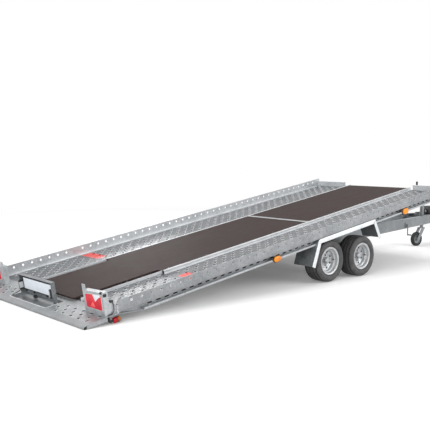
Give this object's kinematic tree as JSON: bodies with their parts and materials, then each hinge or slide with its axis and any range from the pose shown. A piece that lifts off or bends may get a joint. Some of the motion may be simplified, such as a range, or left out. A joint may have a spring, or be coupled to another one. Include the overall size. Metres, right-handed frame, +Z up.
{
  "type": "tilt-bed car trailer",
  "caption": "Tandem-axle galvanised car trailer with a tilting bed of two pierced wheel lanes, plywood centre deck, V drawbar and jockey wheel, tipped for loading.",
  "frame": {"origin": "on the ground below the middle of the bounding box, wheels and jockey wheel standing at z = 0", "axes": "+X forward to the coupling, +Y to the left, +Z up"},
  "size_m": [6.6943, 2.06, 0.9537],
  "materials": {
    "galvanised": "hot-dip galvanised, mottled grey",
    "deck_wood": "dark film-faced plywood",
    "strip_metal": "bright strip",
    "lamp_lens": "glossy red lens",
    "marker_lens": "glossy amber lens",
    "black_paint": "satin black",
    "bright_steel": "ground and plated",
    "black_rubber": "matt rubber",
    "black_plastic": "matt black",
    "white_plate": "plain white",
    "jockey_rubber": "solid rubber",
    "tyre": "black rubber",
    "wheel_silver": "silver"
  },
  "bodies": {
    "chassis": {"drawbar_beam_left": "galvanised", "drawbar_beam_right": "galvanised", "chassis_cross_tubes": "galvanised", "pivot_shaft": "galvanised", "axle_front": "galvanised", "axle_rear": "galvanised", "overrun_housing": "black_paint", "draw_tube": "bright_steel", "drawbar_bellows": "black_rubber", "coupling_head": "black_paint", "coupling_grip": "black_plastic", "parking_brake_lever": "black_paint", "jockey_clamp": "galvanised", "jockey_tube": "galvanised", "jockey_knob": "black_plastic", "bed_latch": "galvanised"},
    "bed": {"lane_left": "galvanised", "lane_right": "galvanised", "rear_lanes": "galvanised", "deck_panel_rear": "deck_wood", "deck_panel_front": "deck_wood", "deck_joint_strip": "strip_metal", "inner_sills": "galvanised", "side_sill_left": "galvanised", "side_sill_right": "galvanised", "centre_cross_members": "galvanised", "lane_cross_members": "galvanised", "deck_bearers": "deck_wood", "front_stops": "galvanised", "mudguard_left": "galvanised", "mudguard_right": "galvanised", "rear_apron": "galvanised", "lamp_boxes": "galvanised", "tail_lamps": "lamp_lens", "side_markers": "marker_lens", "outline_markers": "marker_lens", "bed_hinge_ears": "galvanised"},
    "plate_holder": {"plate_holder": "galvanised", "number_plate": "white_plate", "plate_lamps": "black_plastic"},
    "damper_barrel": {"damper_barrel": "black_paint"},
    "damper_rod": {"damper_rod": "bright_steel"},
    "jockey_stem": {"jockey_inner_tube": "galvanised"},
    "jockey_fork": {"jockey_fork": "galvanised"},
    "jockey_wheel": {"jockey_wheel": "jockey_rubber"},
    "wheel_front_left": {"tyre_front_left": "tyre", "rim_front_left": "wheel_silver"},
    "wheel_front_right": {"tyre_front_right": "tyre", "rim_front_right": "wheel_silver"},
    "wheel_rear_left": {"tyre_rear_left": "tyre", "rim_rear_left": "wheel_silver"},
    "wheel_rear_right": {"tyre_rear_right": "tyre", "rim_rear_right": "wheel_silver"}
  },
  "joints": [
    {"name": "bed_tilt", "type": "hinge", "parent": "chassis", "child": "bed", "pos_m": [-0.14201, 0, 0.4], "axis": [0, 1, 0], "range_deg": [0, 9.1]},
    {"name": "damper_swing", "type": "hinge", "parent": "chassis", "child": "damper_barrel", "pos_m": [0.94799, 0, 0.35], "axis": [0, 1, 0], "range_deg": [0, 22.57]},
    {"name": "damper_slide", "type": "slide", "parent": "damper_barrel", "child": "damper_rod", "axis": [0.8572, 0, 0.5149], "range_m": [-0.07135, 0]},
    {"name": "plate_fold", "type": "hinge", "parent": "bed", "child": "plate_holder", "pos_m": [-3.15635, 0, 0.05473], "axis": [0, 1, 0], "range_deg": [0, 64]},
    {"name": "jockey_lift", "type": "slide", "parent": "chassis", "child": "jockey_stem", "axis": [0, 0, 1], "range_m": [-0.15, 0.06]},
    {"name": "jockey_swivel", "type": "hinge", "parent": "jockey_stem", "child": "jockey_fork", "pos_m": [2.84299, 0, 0.262], "axis": [0, 0, 1], "continuous": true},
    {"name": "jockey_spin", "type": "hinge", "parent": "jockey_fork", "child": "jockey_wheel", "pos_m": [2.74797, 0.0195, 0.1], "axis": [0.2011, 0.9796, 0], "continuous": true},
    {"name": "wheel_front_left_spin", "type": "hinge", "parent": "chassis", "child": "wheel_front_left", "pos_m": [0.12599, 0.89, 0.218], "axis": [0, 1, 0], "continuous": true},
    {"name": "wheel_front_right_spin", "type": "hinge", "parent": "chassis", "child": "wheel_front_right", "pos_m": [0.12599, -0.89, 0.218], "axis": [0, 1, 0], "continuous": true},
    {"name": "wheel_rear_left_spin", "type": "hinge", "parent": "chassis", "child": "wheel_rear_left", "pos_m": [-0.41001, 0.89, 0.218], "axis": [0, 1, 0], "continuous": true},
    {"name": "wheel_rear_right_spin", "type": "hinge", "parent": "chassis", "child": "wheel_rear_right", "pos_m": [-0.41001, -0.89, 0.218], "axis": [0, 1, 0], "continuous": true}
  ],
  "couplings": [
    {"joint": "damper_swing", "follows": "bed_tilt", "ratio": 2.4738},
    {"joint": "damper_slide", "follows": "bed_tilt", "m_per_rad": -0.4478}
  ]
}
